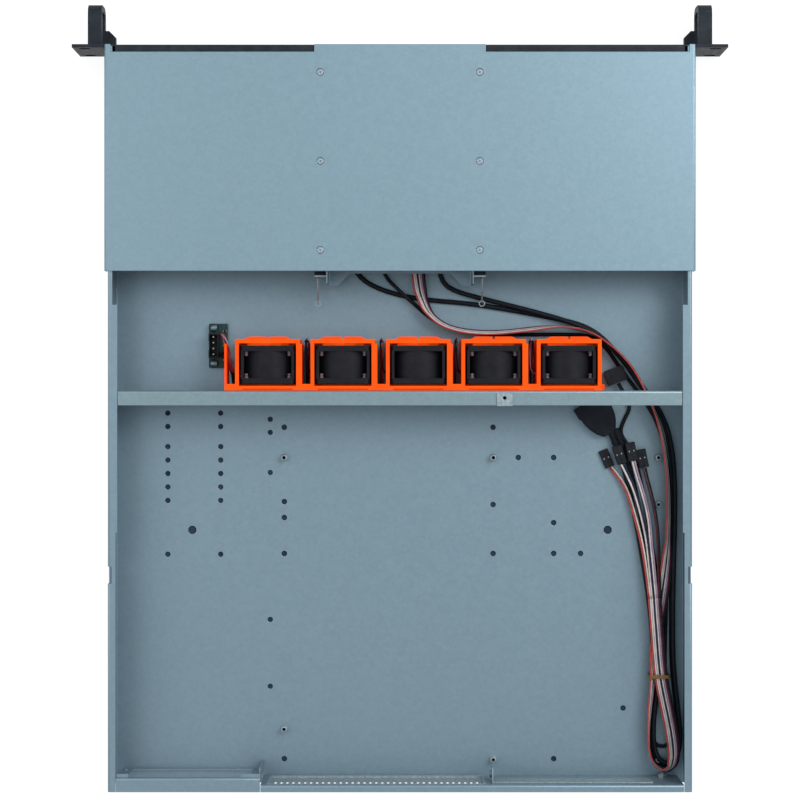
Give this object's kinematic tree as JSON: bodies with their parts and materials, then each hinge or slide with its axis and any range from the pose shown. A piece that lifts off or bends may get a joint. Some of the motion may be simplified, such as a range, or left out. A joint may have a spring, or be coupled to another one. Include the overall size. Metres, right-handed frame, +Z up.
{
  "type": "server case",
  "caption": "Empty rackmount server case, one unit high, with a row of small fans in orange holders, rack ears with handles, drive cage and loose front cables.",
  "frame": {"origin": "centre of the underside of the folded base", "axes": "+Z up, +Y from the front panel towards the rear wall, +X towards the power supply side"},
  "size_m": [0.4826, 0.586, 0.044],
  "materials": {
    "zinc_steel": "satin",
    "bright_steel": "satin",
    "dark_steel": "satin",
    "black_paint": "satin",
    "black_rubber": "matte",
    "orange_plastic": "satin",
    "black_plastic": "matte",
    "rivet_plastic": "matte",
    "circuit_board": "gloss",
    "pale_plastic": "matte",
    "tie_plastic": "matte",
    "cord_black": "matte",
    "cord_coloured": "matte",
    "cord_red": "matte"
  },
  "bodies": {
    "chassis": {"chassis_base": "zinc_steel", "rear_panel": "zinc_steel", "psu_bracket": "zinc_steel", "front_cover": "zinc_steel", "drive_cage": "zinc_steel", "fan_bar": "zinc_steel", "io_shield": "bright_steel", "slot_cover": "bright_steel", "small_screws": "bright_steel", "ground_stud": "bright_steel", "board_standoffs": "bright_steel", "cage_clips": "bright_steel", "cover_screws": "dark_steel", "front_panel": "black_paint", "handle_left": "black_paint", "handle_right": "black_paint", "cage_bumpers": "black_rubber", "fan_holder_1": "orange_plastic", "fan_holder_2": "orange_plastic", "fan_holder_3": "orange_plastic", "fan_holder_4": "orange_plastic", "fan_holder_5": "orange_plastic", "fan_frame_1": "black_plastic", "fan_frame_2": "black_plastic", "fan_frame_3": "black_plastic", "fan_frame_4": "black_plastic", "fan_frame_5": "black_plastic", "fan_rivets": "rivet_plastic", "fan_hub_board": "circuit_board", "front_io_board": "circuit_board", "hub_header": "pale_plastic", "front_usb_ports": "bright_steel", "usb3_plug": "black_plastic", "audio_plug": "black_plastic", "panel_plug_1": "black_plastic", "panel_plug_2": "black_plastic", "panel_plug_3": "black_plastic", "panel_plug_4": "black_plastic", "cable_tie": "tie_plastic", "usb_cable_a": "cord_black", "usb_cable_b": "cord_black", "audio_cable": "cord_black", "fan_harness": "cord_black", "panel_ribbon": "cord_coloured", "panel_lead_1": "cord_coloured", "panel_lead_2": "cord_coloured", "panel_lead_3": "cord_coloured", "panel_lead_4": "cord_coloured", "fan_leads": "cord_red"},
    "rotor_1": {"fan_rotor_1": "black_plastic"},
    "rotor_2": {"fan_rotor_2": "black_plastic"},
    "rotor_3": {"fan_rotor_3": "black_plastic"},
    "rotor_4": {"fan_rotor_4": "black_plastic"},
    "rotor_5": {"fan_rotor_5": "black_plastic"},
    "power_cap": {"power_button": "black_plastic"},
    "reset_cap": {"reset_button": "black_plastic"}
  },
  "joints": [
    {"name": "fan_1_spin", "type": "hinge", "parent": "chassis", "child": "rotor_1", "pos_m": [0.0975, -0.0394, 0.0218], "axis": [0, 1, 0], "continuous": true},
    {"name": "fan_2_spin", "type": "hinge", "parent": "chassis", "child": "rotor_2", "pos_m": [0.042, -0.0394, 0.0218], "axis": [0, 1, 0], "continuous": true},
    {"name": "fan_3_spin", "type": "hinge", "parent": "chassis", "child": "rotor_3", "pos_m": [-0.0135, -0.0394, 0.0218], "axis": [0, 1, 0], "continuous": true},
    {"name": "fan_4_spin", "type": "hinge", "parent": "chassis", "child": "rotor_4", "pos_m": [-0.069, -0.0394, 0.0218], "axis": [0, 1, 0], "continuous": true},
    {"name": "fan_5_spin", "type": "hinge", "parent": "chassis", "child": "rotor_5", "pos_m": [-0.1245, -0.0394, 0.0218], "axis": [0, 1, 0], "continuous": true},
    {"name": "power_press", "type": "slide", "parent": "chassis", "child": "power_cap", "axis": [0, 1, 0], "range_m": [0, 0.0012], "stiffness_N_per_m": 150, "springref_m": -0.001},
    {"name": "reset_press", "type": "slide", "parent": "chassis", "child": "reset_cap", "axis": [0, 1, 0], "range_m": [0, 0.0012], "stiffness_N_per_m": 150, "springref_m": -0.001}
  ]
}
